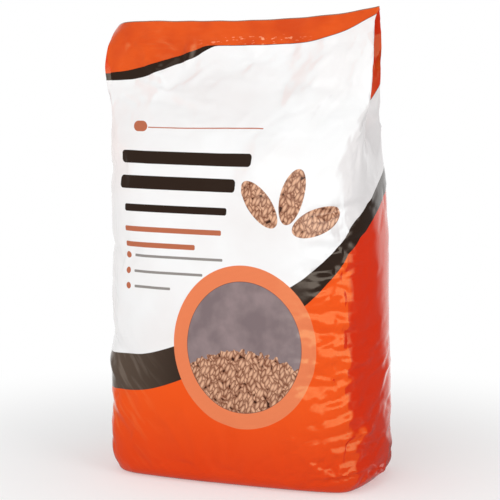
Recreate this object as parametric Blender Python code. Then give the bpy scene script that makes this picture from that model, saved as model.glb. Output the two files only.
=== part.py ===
"""A sealed, side-gusseted film bag full of wood-pellet cat litter, standing on its base.

The bag is one skin lofted through level sections. Low down a section is a soft-cornered
cushion, at the shoulder it thins to a wedge, and above it each side folds in as a gusset,
so the section is a flat tube with an M at both ends. The top is pressed into a thin seal.
The front faces -Y and the bag stands on z = 0, centred on the Z axis. Metres, +Z up.
"""
import math

import bmesh
import bpy
import numpy as np

# Filled body
HEIGHT = 0.646            # floor to the highest corner of the top edge
BODY_WIDTH = 0.362        # left to right, between the soft corners
BODY_DEPTH = 0.182        # front to back, between the soft corners
FRONT_BELLY = 0.021       # how far the contents push each panel out past its corners
BACK_BELLY = 0.017
SIDE_BELLY = 0.0135
CORNER_SOFTNESS = 0.062   # length of film that turns at each filled corner
BASE_ROUNDING = 0.020     # radius where the walls turn under

# Flat top
FLAT_WIDTH = 0.401        # a panel's film where it lies flat
FLAT_SHIFT = 0.017        # the flat top leans this far to the left
GUSSET_DEPTH = 0.058      # how far each side folds in
FOLD_SOFTNESS = 0.005     # length of film that turns at a pressed fold
SEAL_HEIGHT = 0.034
SEAL_THICKNESS = 0.0016
TOP_DROP = 0.019          # the left end of the top edge is this much lower
TOP_DROP_CURVE = 5        # how far to the right the edge stays low
CURL_WIDTH = 0.058        # the top left corner has curled back past a slanting line
CURL_HEIGHT = 0.072
CURL_RADIUS = 0.038

# Underside, where the bottom seal lies folded flat against the base
BASE_SEAL_WIDTH = 0.040
BASE_SEAL_EDGE = 0.0012   # depth of the line along its free edge
BASE_LINE_WIDTH = 0.008

# Print on the front, from the middle of the panel across and from the floor up
RING_CENTRE = (0.036, 0.196)
RING_HALF_WIDTH = 0.110
RING_HALF_HEIGHT = 0.110
RING_BAND = 0.022
SPRIG_FOOT = (0.095, 0.346)
SPRIG_GAP = 0.016         # from the sprig's foot to each leaf
LEAF_TURNS = (22.0, 76.0, 130.0)
LEAF_LENGTH = 0.076
LEAF_BREADTH = 0.034
BAR_LEFT = -0.162
BARS = (
    # middle up, height, right end across
    (0.447, 0.018, 0.046),
    (0.411, 0.018, 0.022),
    (0.376, 0.013, 0.010),
)

# Columns round the bag and rows up it
PANEL_COLUMNS = 40
CORNER_CROWDING = 0.45    # how much closer together a panel's columns stand at its corners
FOLD_COLUMNS = 7          # on each half of a side
ROUNDING_ROWS = 3
BODY_ROWS = 25
SHOULDER_ROWS = 13
SEAL_ROWS = 4

# Level sections. Height is 0 at the floor, 1 at the seal and 2 at the top edge. Width is 0
# for the filled body and 1 for flat film. Depths are shares of the body's half depth at the
# left corner, the middle and the right corner. A side is 1 where the contents push it out
# and -1 where it is folded in, and softness is 1 at a filled corner and 0 at a pressed fold.
STATIONS = (
    # height, width, left, middle, right, left side, right side, softness
    (0.00, 0.00, 0.97, 0.90, 0.97, 0.80, 0.95, 1.00),
    (0.12, 0.00, 1.00, 1.00, 1.02, 1.05, 1.15, 1.00),
    (0.30, 0.00, 1.00, 1.00, 1.02, 1.00, 1.00, 1.00),
    (0.50, 0.00, 0.98, 1.00, 1.00, 1.00, 0.70, 1.00),
    (0.64, 0.02, 0.95, 0.98, 0.92, 0.90, 0.20, 0.92),
    (0.72, 0.05, 0.88, 0.90, 0.70, 0.60, -0.15, 0.75),
    (0.79, 0.20, 0.66, 0.70, 0.48, 0.00, -0.45, 0.32),
    (0.85, 0.52, 0.38, 0.48, 0.29, -0.80, -0.95, 0.10),
    (0.91, 0.88, 0.19, 0.27, 0.22, -1.00, -1.00, 0.02),
    (0.96, 1.00, 0.12, 0.11, 0.20, -1.00, -1.00, 0.00),
    (1.00, 1.00, 0.09, 0.03, 0.18, -1.00, -1.00, 0.00),
    (1.50, 1.00, 0.04, 0.00, 0.13, -0.95, -0.95, 0.00),
    (1.85, 1.00, 0.01, 0.00, 0.03, 0.00, 0.00, 0.00),
    (2.00, 1.00, 0.00, 0.00, 0.00, 0.00, 0.00, 0.00),
)
SHOULDER = 0.64           # height where the straight body ends
BELLY_CURVE = 2.4         # how square the swell of a panel is

# Folds in the film, from point to point, then half width and how far the film stands out
# there, or goes in where that is negative. A point is (round, height): round is 0 down the
# front's middle, 1 at its right corner and -1 at its left one.
CREASES = (
    # the long soft ridge over the leaning top panel
    ((0.72, 0.99), (0.15, 0.65), 0.030, 0.0070),
    # pulls from the flat top down into the filled body
    ((-0.74, 0.92), (-0.10, 0.85), 0.012, 0.0025),
    ((-0.59, 0.87), (0.05, 0.82), 0.012, -0.0025),
    ((-0.79, 0.82), (-0.30, 0.80), 0.011, 0.0022),
    ((0.30, 0.92), (0.84, 0.88), 0.012, -0.0025),
    # leaf-shaped buckles down the right-hand corner
    ((0.64, 0.61), (1.16, 0.64), 0.011, -0.0045),
    ((0.74, 0.55), (1.19, 0.58), 0.012, 0.0035),
    ((0.62, 0.49), (1.24, 0.48), 0.012, -0.0045),
    ((0.72, 0.43), (1.16, 0.42), 0.011, 0.0035),
    ((0.59, 0.37), (1.21, 0.35), 0.012, -0.0045),
    ((0.69, 0.31), (1.16, 0.29), 0.011, 0.0035),
    ((0.57, 0.25), (1.21, 0.23), 0.013, -0.0050),
    ((0.67, 0.18), (1.16, 0.17), 0.012, 0.0040),
    ((0.50, 0.13), (0.99, 0.14), 0.011, -0.0040),
    # the tuck where the bottom corner is folded under
    ((0.42, 0.02), (0.92, 0.08), 0.012, -0.0070),
    ((0.92, 0.08), (1.30, 0.03), 0.012, -0.0070),
    ((0.79, 0.02), (0.88, 0.06), 0.009, 0.0040),
    ((0.72, 0.00), (1.66, 0.00), 0.022, -0.0045),
    # soft slants down the left-hand edge
    ((-1.16, 0.34), (-0.59, 0.25), 0.012, -0.0028),
    ((-1.19, 0.28), (-0.64, 0.19), 0.012, 0.0025),
    ((-1.16, 0.54), (-0.82, 0.49), 0.012, -0.0025),
    ((-1.16, 0.18), (-0.74, 0.10), 0.012, -0.0028),
    ((-1.19, 0.69), (-0.79, 0.71), 0.013, -0.0030),
    # the back
    ((1.63, 0.54), (2.50, 0.58), 0.014, -0.0030),
    ((-2.50, 0.41), (-1.73, 0.38), 0.014, -0.0030),
    ((1.78, 0.23), (2.48, 0.19), 0.014, 0.0028),
    ((-2.23, 0.70), (-1.63, 0.74), 0.013, 0.0028),
)

# Edges of the printed colours. The sweep is (round, height): it climbs from the front's
# left corner, -1, round the right side to 1.57, and comes down again across the back.
SWEEP_TOP = (
    (-1.00, 0.280), (-0.68, 0.287), (-0.46, 0.303), (0.61, 0.472),
    (0.86, 0.539), (1.00, 0.582), (1.24, 0.660), (1.57, 0.715),
)
SWEEP_FOOT = (
    (-1.00, 0.198), (-0.67, 0.206), (-0.39, 0.230), (0.60, 0.408),
    (0.86, 0.483), (1.00, 0.528), (1.24, 0.612), (1.57, 0.672),
)
# The arc under the top strip is (across, metres below the top edge) on either panel.
ARC_FOOT = (
    (-1.00, 0.085), (-0.81, 0.083), (-0.34, 0.052), (-0.14, SEAL_HEIGHT),
    (0.45, SEAL_HEIGHT), (0.74, 0.026), (1.00, 0.010),
)
ARC_TOP = (
    (-1.00, 0.075), (-0.81, 0.070), (-0.35, 0.043), (-0.20, SEAL_HEIGHT),
    (0.45, SEAL_HEIGHT), (0.74, 0.026), (1.00, 0.010),
)
# How much lower the orange reaches inside the right gusset: (0 front to 2 back, metres)
GUSSET_DIP = ((0.00, 0.0), (0.25, 0.0), (0.60, 0.100), (1.00, 0.125), (1.78, 0.100), (2.00, 0.047))

SEAL_LINE = HEIGHT - SEAL_HEIGHT
HALF_FLAT = FLAT_WIDTH / 2
GIRTH = 2 * FLAT_WIDTH + 4 * GUSSET_DEPTH

COLOURS = {
    "orange_film": (0.823, 0.102, 0.016, 1.0),
    "white_film": (0.900, 0.890, 0.880, 1.0),
    "brown_film": (0.050, 0.030, 0.022, 1.0),
    "salmon_print": (0.860, 0.250, 0.110, 1.0),
    "mauve_print": (0.275, 0.225, 0.240, 1.0),
    "pellet_print": (0.520, 0.300, 0.200, 1.0),
}
FILM_ROUGHNESS = 0.22
NEAR_CORNER = 0.12        # a print edge this near a mesh point moves the point instead
HALVINGS = 12
SHARP_ANGLE = math.radians(50)


def smoothstep(t):
    t = np.clip(t, 0.0, 1.0)
    return t * t * (3 - 2 * t)


def through(points, x):
    """A smooth curve through a few points that never overshoots them."""
    xs, ys = np.array(points, float).T
    step = np.diff(xs)
    slope = np.diff(ys) / step
    before, after = slope[:-1], slope[1:]
    turning = before * after <= 0
    total = np.where(turning, 1.0, before + after)
    tangent = np.concatenate([slope[:1], np.where(turning, 0.0, 2 * before * after / total), slope[-1:]])
    i = np.clip(np.searchsorted(xs, x) - 1, 0, len(step) - 1)
    t = (np.clip(x, xs[0], xs[-1]) - xs[i]) / step[i]
    start = ys[i] * (1 + 2 * t) * (1 - t) ** 2 + tangent[i] * step[i] * t * (1 - t) ** 2
    end = ys[i + 1] * (3 - 2 * t) * t ** 2 - tangent[i + 1] * step[i] * (1 - t) * t ** 2
    return start + end


def station(height):
    """The seven section values at one height."""
    return [float(through([(row[0], row[k]) for row in STATIONS], height)) for k in range(1, 8)]


def level(height):
    """Metres above the floor at a section height."""
    return SEAL_LINE * min(height, 1.0) + SEAL_HEIGHT * max(height - 1.0, 0.0)


def softened(points, reach):
    """A closed outline with each point moved to the mean of the film within reach of it."""
    for _ in range(2):
        closed = np.vstack([points, points[:1]])
        lengths = np.linalg.norm(np.diff(closed, axis=0), axis=1)
        along = np.concatenate([[0.0], np.cumsum(lengths)])
        total = along[-1]
        places = np.concatenate([along[:-1] - total, along[:-1], along[:-1] + total, [2 * total]])
        outline = np.vstack([points, points, points, points[:1]])
        pieces = (outline[1:] + outline[:-1]) / 2 * np.diff(places)[:, None]
        area = np.vstack([[0.0, 0.0], np.cumsum(pieces, axis=0)])
        ahead = [np.interp(along[:-1] + reach / 2, places, area[:, k]) for k in (0, 1)]
        behind = [np.interp(along[:-1] - reach / 2, places, area[:, k]) for k in (0, 1)]
        points = (np.array(ahead) - np.array(behind)).T / reach
    return points


def meeting(places, targets):
    """The places with the nearest one moved to each target, so that a line runs there."""
    for target in targets:
        places[np.argmin(np.abs(places - target))] = target
    return places


def panel_shares():
    """Where the columns stand across a panel, as shares of its width."""
    even = np.arange(PANEL_COLUMNS) / PANEL_COLUMNS
    shares = even - CORNER_CROWDING * np.sin(2 * math.pi * even) / (2 * math.pi)
    ends = [BAR_LEFT] + [right for _, _, right in BARS]
    return meeting(shares, [0.5 + end / FLAT_WIDTH for end in ends])


def film_columns():
    """Where each column lies on the flat tube: metres round from the middle of the front."""
    panel = panel_shares() * FLAT_WIDTH
    fold = np.arange(FOLD_COLUMNS) / FOLD_COLUMNS * GUSSET_DEPTH
    starts = np.cumsum([-HALF_FLAT, FLAT_WIDTH, GUSSET_DEPTH, GUSSET_DEPTH, FLAT_WIDTH, GUSSET_DEPTH])
    film = np.concatenate([start + run for start, run in zip(starts, (panel, fold, fold) * 2)])
    return (film + GIRTH / 2) % GIRTH - GIRTH / 2


def section(height):
    """The outline of the bag at one height, seen from above, counter-clockwise."""
    width, left, middle, right, left_side, right_side, softness = station(height)
    half = (BODY_WIDTH + (FLAT_WIDTH - BODY_WIDTH) * width) / 2
    centre = -FLAT_SHIFT * width
    ply = SEAL_THICKNESS / 2
    deep = BODY_DEPTH / 2

    def panel(across, belly):
        swell = 1 - np.abs(2 * across - 1) ** BELLY_CURVE
        ends = left * (1 - across) + right * across
        return ply + deep * (ends + (middle - ends) * swell) + belly * swell * middle

    def fold(side):
        return side * (SIDE_BELLY if side > 0 else GUSSET_DEPTH)

    def side(x, depth, out):
        corners = np.array([(x, -depth), (x + out, 0.0), (x, depth)])
        if x < centre:
            corners = corners[::-1]
        share = np.arange(FOLD_COLUMNS)[:, None] / FOLD_COLUMNS
        return [corners[k] + (corners[k + 1] - corners[k]) * share for k in (0, 1)]

    across = panel_shares()
    x = centre + half * (2 * across - 1)
    front = np.column_stack([x, -panel(across, FRONT_BELLY)])
    back = np.column_stack([2 * centre - x, panel(1 - across, BACK_BELLY)])
    right_fold = side(centre + half, ply + deep * right, fold(right_side))
    left_fold = side(centre - half, ply + deep * left, -fold(left_side))
    reach = FOLD_SOFTNESS + (CORNER_SOFTNESS - FOLD_SOFTNESS) * softness
    reach = min(reach, ply + deep * left, ply + deep * right)
    return softened(np.vstack([front, *right_fold, back, *left_fold]), reach)


def outward(outline):
    """The direction out of the bag at each point of an outline."""
    along = np.roll(outline, -1, axis=0) - np.roll(outline, 1, axis=0)
    along /= np.linalg.norm(along, axis=1, keepdims=True)
    return np.column_stack([along[:, 1], -along[:, 0]])


def creased(film, up):
    """How far the folds push the film out, along the columns at one level."""
    push = np.zeros(len(film))
    for start, end, half_width, depth in CREASES:
        a, c = start[0] * HALF_FLAT, end[0] * HALF_FLAT
        b, d = start[1] * SEAL_LINE, end[1] * SEAL_LINE
        length = (c - a) ** 2 + (d - b) ** 2
        share = np.clip(((film - a) * (c - a) + (up - b) * (d - b)) / length, 0.0, 1.0)
        away = np.hypot(film - a - share * (c - a), up - b - share * (d - b))
        push += depth * np.sqrt(4 * share * (1 - share)) * np.exp(-(away / half_width) ** 2)
    return push


def set_top_edge(points, height):
    """Drop the left of the top edge and curl the top left corner back."""
    corner_x = -FLAT_SHIFT - HALF_FLAT
    across = np.clip((points[:, 0] - corner_x) / FLAT_WIDTH, 0.0, 1.0)
    share = smoothstep((height - SHOULDER) / (1 - SHOULDER))
    points[:, 2] -= TOP_DROP * share * (1 - across ** TOP_DROP_CURVE)
    slant = math.hypot(CURL_WIDTH, CURL_HEIGHT)
    out_x, out_z = -CURL_HEIGHT / slant, CURL_WIDTH / slant
    foot_z = HEIGHT - TOP_DROP - CURL_HEIGHT
    past = np.maximum((points[:, 0] - corner_x) * out_x + (points[:, 2] - foot_z) * out_z, 0.0)
    turn = past / CURL_RADIUS
    pulled = past - CURL_RADIUS * np.sin(turn)
    points[:, 0] -= out_x * pulled
    points[:, 2] -= out_z * pulled
    points[:, 1] += CURL_RADIUS * (1 - np.cos(turn))
    return points


def rows():
    """The section heights, from the floor to the top edge."""
    foot = BASE_ROUNDING / SEAL_LINE
    quarter = np.arange(ROUNDING_ROWS) / ROUNDING_ROWS * math.pi / 2
    body = np.linspace(foot, SHOULDER, BODY_ROWS, endpoint=False)
    shoulder = np.linspace(SHOULDER, 1.0, SHOULDER_ROWS, endpoint=False)
    seal = np.linspace(1.0, 2.0, SEAL_ROWS + 1)
    edges = [middle + side * height / 2 for middle, height, _ in BARS for side in (-1, 1)]
    wall = meeting(np.concatenate([body, shoulder]), [edge / SEAL_LINE for edge in edges])
    return np.concatenate([foot * (1 - np.cos(quarter)), wall, seal])


def row_points(height):
    """The points of one row of the skin."""
    outline = section(height)
    up = level(height)
    out = outward(outline)
    below = max(1 - up / BASE_ROUNDING, 0.0)
    tucked = BASE_ROUNDING * (1 - math.sqrt(1 - below ** 2))
    push = creased(film_columns(), up) - tucked
    outline = outline + out * push[:, None]
    return set_top_edge(np.column_stack([outline, np.full(len(outline), up)]), height)


class Film:
    """Layers that say where each point lies in the print."""

    def __init__(self, mesh):
        self.layers = [mesh.verts.layers.float.new(name) for name in ("across", "up", "round")]
        self.across = self.layers[0]   # -1 left to 1 right, the same on both panels
        self.up = self.layers[1]       # metres
        self.round = self.layers[2]    # 0 on the front, 2 on the back, 1 in a gusset's fold

    def mark(self, vert, metres_round, up):
        distance = abs(metres_round)
        panel = min(distance, HALF_FLAT, GIRTH / 2 - distance) / HALF_FLAT
        vert[self.across] = math.copysign(panel, metres_round)
        vert[self.round] = min(max(distance - HALF_FLAT, 0.0) / GUSSET_DEPTH, 2.0)
        vert[self.up] = up

    def place(self, verts):
        """The mean place of some points, as (across, up, round)."""
        return [sum(vert[layer] for vert in verts) / len(verts) for layer in self.layers]

    def shift(self, vert, towards, share):
        """Move a point's marks a share of the way towards another's."""
        for layer in self.layers:
            vert[layer] += (towards[layer] - vert[layer]) * share


def skin(mesh, film):
    """The closed skin: the lofted wall, the top edge and the flat underside."""
    columns = film_columns()
    grid = []
    for height in rows():
        row = [mesh.verts.new(point) for point in row_points(height)]
        for vert, metres_round in zip(row, columns):
            film.mark(vert, metres_round, level(height))
        grid.append(row)
    for low, high in zip(grid, grid[1:]):
        for i in range(len(columns)):
            j = (i + 1) % len(columns)
            mesh.faces.new((low[i], low[j], high[j], high[i]))
    lid(mesh, film, grid[-1], (), up_facing=True)
    seam = 0.5 + BASE_SEAL_WIDTH / (BODY_DEPTH - 2 * BASE_ROUNDING)
    line = BASE_LINE_WIDTH / (2 * BODY_DEPTH)
    lines = ((0.25, 0.0), (0.5, 0.0), (seam - line, 0.0), (seam, BASE_SEAL_EDGE), (seam + line, 0.0))
    lid(mesh, film, grid[0], lines, up_facing=False)


def lid(mesh, film, row, lines, up_facing):
    """Close a row from front to back. Lines run across at these shares, raised this much."""
    count = len(row)
    left = count - FOLD_COLUMNS
    chains = []
    for k in range(count // 2 + 1):
        front, back = row[(left + k) % count], row[(left - k) % count]
        chain = [front]
        for share, rise in lines:
            if front is back:
                chain.append(front)
                continue
            vert = mesh.verts.new(front.co.lerp(back.co, share))
            film.mark(vert, HALF_FLAT, 0.0)
            vert.co.z += rise
            chain.append(vert)
        chains.append(chain + [back])
    for one, two in zip(chains, chains[1:]):
        for k in range(len(one) - 1):
            corners = list(dict.fromkeys((one[k], two[k], two[k + 1], one[k + 1])))
            if len(corners) > 2:
                mesh.faces.new(corners if up_facing else corners[::-1])


def sweep_round(across, turn):
    """The sweep's own way round: the right side adds its width, and the back returns."""
    return (across + 1) * (1 + turn * GUSSET_DEPTH / FLAT_WIDTH) - 1


def sweep_top(across, up, turn):
    return up / SEAL_LINE - through(SWEEP_TOP, sweep_round(across, turn))


def sweep_foot(across, up, turn):
    return up / SEAL_LINE - through(SWEEP_FOOT, sweep_round(across, turn))


def dipped(arc, across, turn):
    """The arc's height above the floor, lower inside the right gusset."""
    dip = through(GUSSET_DIP, turn) * smoothstep(across)
    return HEIGHT - through(arc, across) - dip


def arc_foot(across, up, turn):
    return up - dipped(ARC_FOOT, across, turn)


def arc_top(across, up, turn):
    return up - dipped(ARC_TOP, across, turn)


def oval(across, up, margin):
    """Negative inside the oval frame grown by a margin."""
    x = (across * HALF_FLAT - RING_CENTRE[0]) / (RING_HALF_WIDTH + margin)
    z = (up - RING_CENTRE[1]) / (RING_HALF_HEIGHT + margin)
    return math.hypot(x, z) - 1


def ring_outside(across, up, turn):
    return oval(across, up, 0.0)


def ring_inside(across, up, turn):
    return oval(across, up, -RING_BAND)


def leaf_edge(degrees):
    """The outline of one leaf, a long oval that points at this angle."""
    lean = math.radians(degrees)

    def leaf(across, up, turn):
        east, north = across * HALF_FLAT - SPRIG_FOOT[0], up - SPRIG_FOOT[1]
        along = east * math.cos(lean) + north * math.sin(lean) - SPRIG_GAP - LEAF_LENGTH / 2
        aside = north * math.cos(lean) - east * math.sin(lean)
        return math.hypot(2 * along / LEAF_LENGTH, 2 * aside / LEAF_BREADTH) - 1

    return leaf


LEAVES = [leaf_edge(degrees) for degrees in LEAF_TURNS]


def on_bar(across, up):
    """Whether a place on the front is inside one of the bars that stand for lines of text."""
    x = across * HALF_FLAT
    return any(BAR_LEFT < x < right and abs(up - middle) < height / 2 for middle, height, right in BARS)


def crossing(film, edge_of_print, a, b):
    """How far from a to b the print's edge lies, by halving."""
    start, end = np.array(film.place([a])), np.array(film.place([b]))
    inside = edge_of_print(*start) < 0
    low, high = 0.0, 1.0
    for _ in range(HALVINGS):
        middle = (low + high) / 2
        if (edge_of_print(*(start + (end - start) * middle)) < 0) == inside:
            low = middle
        else:
            high = middle
    return (low + high) / 2


def cut_along(mesh, film, edge_of_print, front_only):
    """Cut the skin along the line where a printed colour ends."""
    value = {}
    for vert in mesh.verts:
        across, up, turn = film.place([vert])
        value[vert] = 1.0 if front_only and turn > 0 else float(edge_of_print(across, up, turn))
    for edge in list(mesh.edges):
        a, b = edge.verts
        if value[a] * value[b] >= 0:
            continue
        share = crossing(film, edge_of_print, a, b)
        if share > 0.5:
            a, b, share = b, a, 1 - share
        if share < NEAR_CORNER:
            film.shift(a, b, share)
            a.co = a.co.lerp(b.co, share)
            value[a] = 0.0
    for edge in list(mesh.edges):
        a, b = edge.verts
        if value[a] * value[b] < 0:
            share = crossing(film, edge_of_print, a, b)
            start = film.place([a])
            _, vert = bmesh.utils.edge_split(edge, a, share)
            for layer, mark in zip(film.layers, start):
                vert[layer] = mark
            film.shift(vert, b, share)
            value[vert] = 0.0
    waiting = list(mesh.faces)
    while waiting:
        face = waiting.pop()
        corners = list(face.verts)
        signs = [value[vert] for vert in corners]
        if not min(signs) < 0 < max(signs):
            continue
        on_line = [k for k, sign in enumerate(signs) if sign == 0]
        for k, ahead in zip(on_line, on_line[1:] + on_line[:1]):
            if (ahead - k) % len(corners) > 1 and (k - ahead) % len(corners) > 1:
                new_face, _ = bmesh.utils.face_split(face, corners[k], corners[ahead])
                waiting += [face, new_face]
                break


def colour_of(across, up, turn):
    """The name of the colour printed at a place on the film."""
    if turn == 0 and ring_outside(across, up, turn) < 0:
        return "mauve_print" if ring_inside(across, up, turn) < 0 else "salmon_print"
    if turn == 0 and any(leaf(across, up, turn) < 0 for leaf in LEAVES):
        return "pellet_print"
    if turn == 0 and on_bar(across, up):
        return "brown_film"
    if sweep_foot(across, up, turn) < 0 or arc_top(across, up, turn) > 0:
        return "orange_film"
    if sweep_top(across, up, turn) < 0 or arc_foot(across, up, turn) > 0:
        return "brown_film"
    return "white_film"


def film_material(name):
    material = bpy.data.materials.new(name)
    material.use_nodes = True
    shader = material.node_tree.nodes["Principled BSDF"]
    shader.inputs["Base Color"].default_value = COLOURS[name]
    shader.inputs["Roughness"].default_value = FILM_ROUGHNESS
    shader.inputs["Metallic"].default_value = 0.0
    return material


def litter_bag():
    """The bag as one object, standing with its box centred on the Z axis."""
    mesh = bmesh.new()
    film = Film(mesh)
    skin(mesh, film)
    for edge_of_print in (sweep_top, sweep_foot, arc_foot, arc_top):
        cut_along(mesh, film, edge_of_print, front_only=False)
    for edge_of_print in (ring_outside, ring_inside, *LEAVES):
        cut_along(mesh, film, edge_of_print, front_only=True)
    names = list(COLOURS)
    for face in mesh.faces:
        face.material_index = names.index(colour_of(*film.place(face.verts)))
    bmesh.ops.triangulate(mesh, faces=list(mesh.faces))
    for axis in (0, 1):
        places = [vert.co[axis] for vert in mesh.verts]
        middle = (min(places) + max(places)) / 2
        for vert in mesh.verts:
            vert.co[axis] -= middle
    data = bpy.data.meshes.new("litter_bag")
    mesh.to_mesh(data)
    mesh.free()
    for name in names:
        data.materials.append(film_material(name))
    data.shade_smooth()
    data.set_sharp_from_angle(angle=SHARP_ANGLE)
    bag = bpy.data.objects.new("litter_bag", data)
    bpy.context.scene.collection.objects.link(bag)


def main():
    for old in list(bpy.data.objects):
        bpy.data.objects.remove(old, do_unlink=True)
    litter_bag()


main()
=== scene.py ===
import math
import random

import bpy
import numpy as np
from mathutils import Matrix, Vector, noise


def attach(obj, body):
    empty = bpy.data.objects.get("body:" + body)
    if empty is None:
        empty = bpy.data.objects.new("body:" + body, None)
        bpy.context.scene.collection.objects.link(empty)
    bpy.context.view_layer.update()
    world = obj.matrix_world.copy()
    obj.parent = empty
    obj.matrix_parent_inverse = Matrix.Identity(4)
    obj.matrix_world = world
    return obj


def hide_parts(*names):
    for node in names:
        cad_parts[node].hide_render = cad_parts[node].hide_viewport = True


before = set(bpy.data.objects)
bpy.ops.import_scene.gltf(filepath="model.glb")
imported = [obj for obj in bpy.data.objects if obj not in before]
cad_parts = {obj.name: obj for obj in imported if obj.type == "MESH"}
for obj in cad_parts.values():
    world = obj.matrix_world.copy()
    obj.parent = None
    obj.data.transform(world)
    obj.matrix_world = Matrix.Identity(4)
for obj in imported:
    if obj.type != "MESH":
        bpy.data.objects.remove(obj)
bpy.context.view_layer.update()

scene = bpy.context.scene
scene.view_settings.view_transform = "Standard"
bpy.ops.object.select_all(action="DESELECT")


# camera first, at the photo's angle
cameraSetup = {
    "azimuth": 21.0,
    "elevation": 7.3,
    "target": (0.0085, 0.0, 0.312),
    "distance": 2.26,
    "sensor": 36.0,
    "lens": 117.4,
}


def around(azimuth, elevation):
    # unit vector from the bag: 0 is straight out of the front, 90 is to the right
    a, e = math.radians(azimuth), math.radians(elevation)
    return Vector((math.sin(a) * math.cos(e), -math.cos(a) * math.cos(e), math.sin(e)))


back = around(cameraSetup["azimuth"], cameraSetup["elevation"])
bpy.ops.object.camera_add(location=Vector(cameraSetup["target"]) + back * cameraSetup["distance"])
camera = bpy.context.active_object
camera.rotation_euler = back.to_track_quat("Z", "Y").to_euler()
camera.data.sensor_width = cameraSetup["sensor"]
camera.data.lens = cameraSetup["lens"]
scene.camera = camera
print("camera set")


# the form: the same film tube as the CAD part, in metres
bagForm = {
    "height": 0.646, "bodyWidth": 0.362, "bodyDepth": 0.182, "flatWidth": 0.401,
    "frontBelly": 0.021, "backBelly": 0.017, "sideBelly": 0.0135, "bellyCurve": 2.4,
    "cornerSoftness": 0.062, "foldSoftness": 0.005, "baseRounding": 0.020, "shoulder": 0.64,
    "flatShift": 0.017, "gussetDepth": 0.058, "sealHeight": 0.034, "sealThickness": 0.0012,
    "topDrop": 0.019, "topDropCurve": 5,
    "curlWidth": 0.058, "curlHeight": 0.072, "curlRadius": 0.038,
    "baseSealWidth": 0.040, "baseSealEdge": 0.0012, "baseLineWidth": 0.008,
    # folds start weak at the floor and fade in the seal
    "footFade": 0.012, "footShare": 0.35, "sealFade": (1.0, 0.3, 0.7),
}
# cells round the bag, as panel and half gusset, and up it, as rounding, body, shoulder and seal
cornerCrowding = 0.45
shownCells = {"round": (120, 20), "up": (10, 148, 64, 14)}
clothCells = {"round": (68, 14), "up": (5, 80, 42, 8)}
# level sections: height 0 floor, 1 seal, 2 top edge; width 0 filled, 1 flat; depths at left,
# middle and right; sides 1 pushed out, -1 folded in; softness 1 filled corner, 0 pressed fold
sections = (
    (0.00, 0.00, 0.97, 0.90, 0.97, 0.80, 0.95, 0.84),
    (0.12, 0.00, 1.00, 1.00, 1.02, 1.05, 1.15, 0.86),
    (0.30, 0.00, 1.00, 1.00, 1.02, 1.00, 1.00, 1.00),
    (0.50, 0.00, 0.98, 1.00, 1.00, 1.00, 0.70, 1.00),
    (0.64, 0.02, 0.95, 0.98, 0.92, 0.90, 0.20, 0.92),
    (0.72, 0.05, 0.88, 0.90, 0.70, 0.60, -0.15, 0.75),
    (0.79, 0.20, 0.66, 0.70, 0.48, 0.00, -0.45, 0.32),
    (0.85, 0.52, 0.38, 0.48, 0.29, -0.80, -0.95, 0.10),
    (0.91, 0.88, 0.19, 0.27, 0.22, -1.00, -1.00, 0.02),
    (0.96, 1.00, 0.12, 0.11, 0.20, -1.00, -1.00, 0.00),
    (1.00, 1.00, 0.09, 0.03, 0.18, -1.00, -1.00, 0.00),
    (1.50, 1.00, 0.04, 0.00, 0.13, -0.95, -0.95, 0.00),
    (1.85, 1.00, 0.01, 0.00, 0.03, 0.00, 0.00, 0.00),
    (2.00, 1.00, 0.00, 0.00, 0.00, 0.00, 0.00, 0.00),
)
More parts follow.
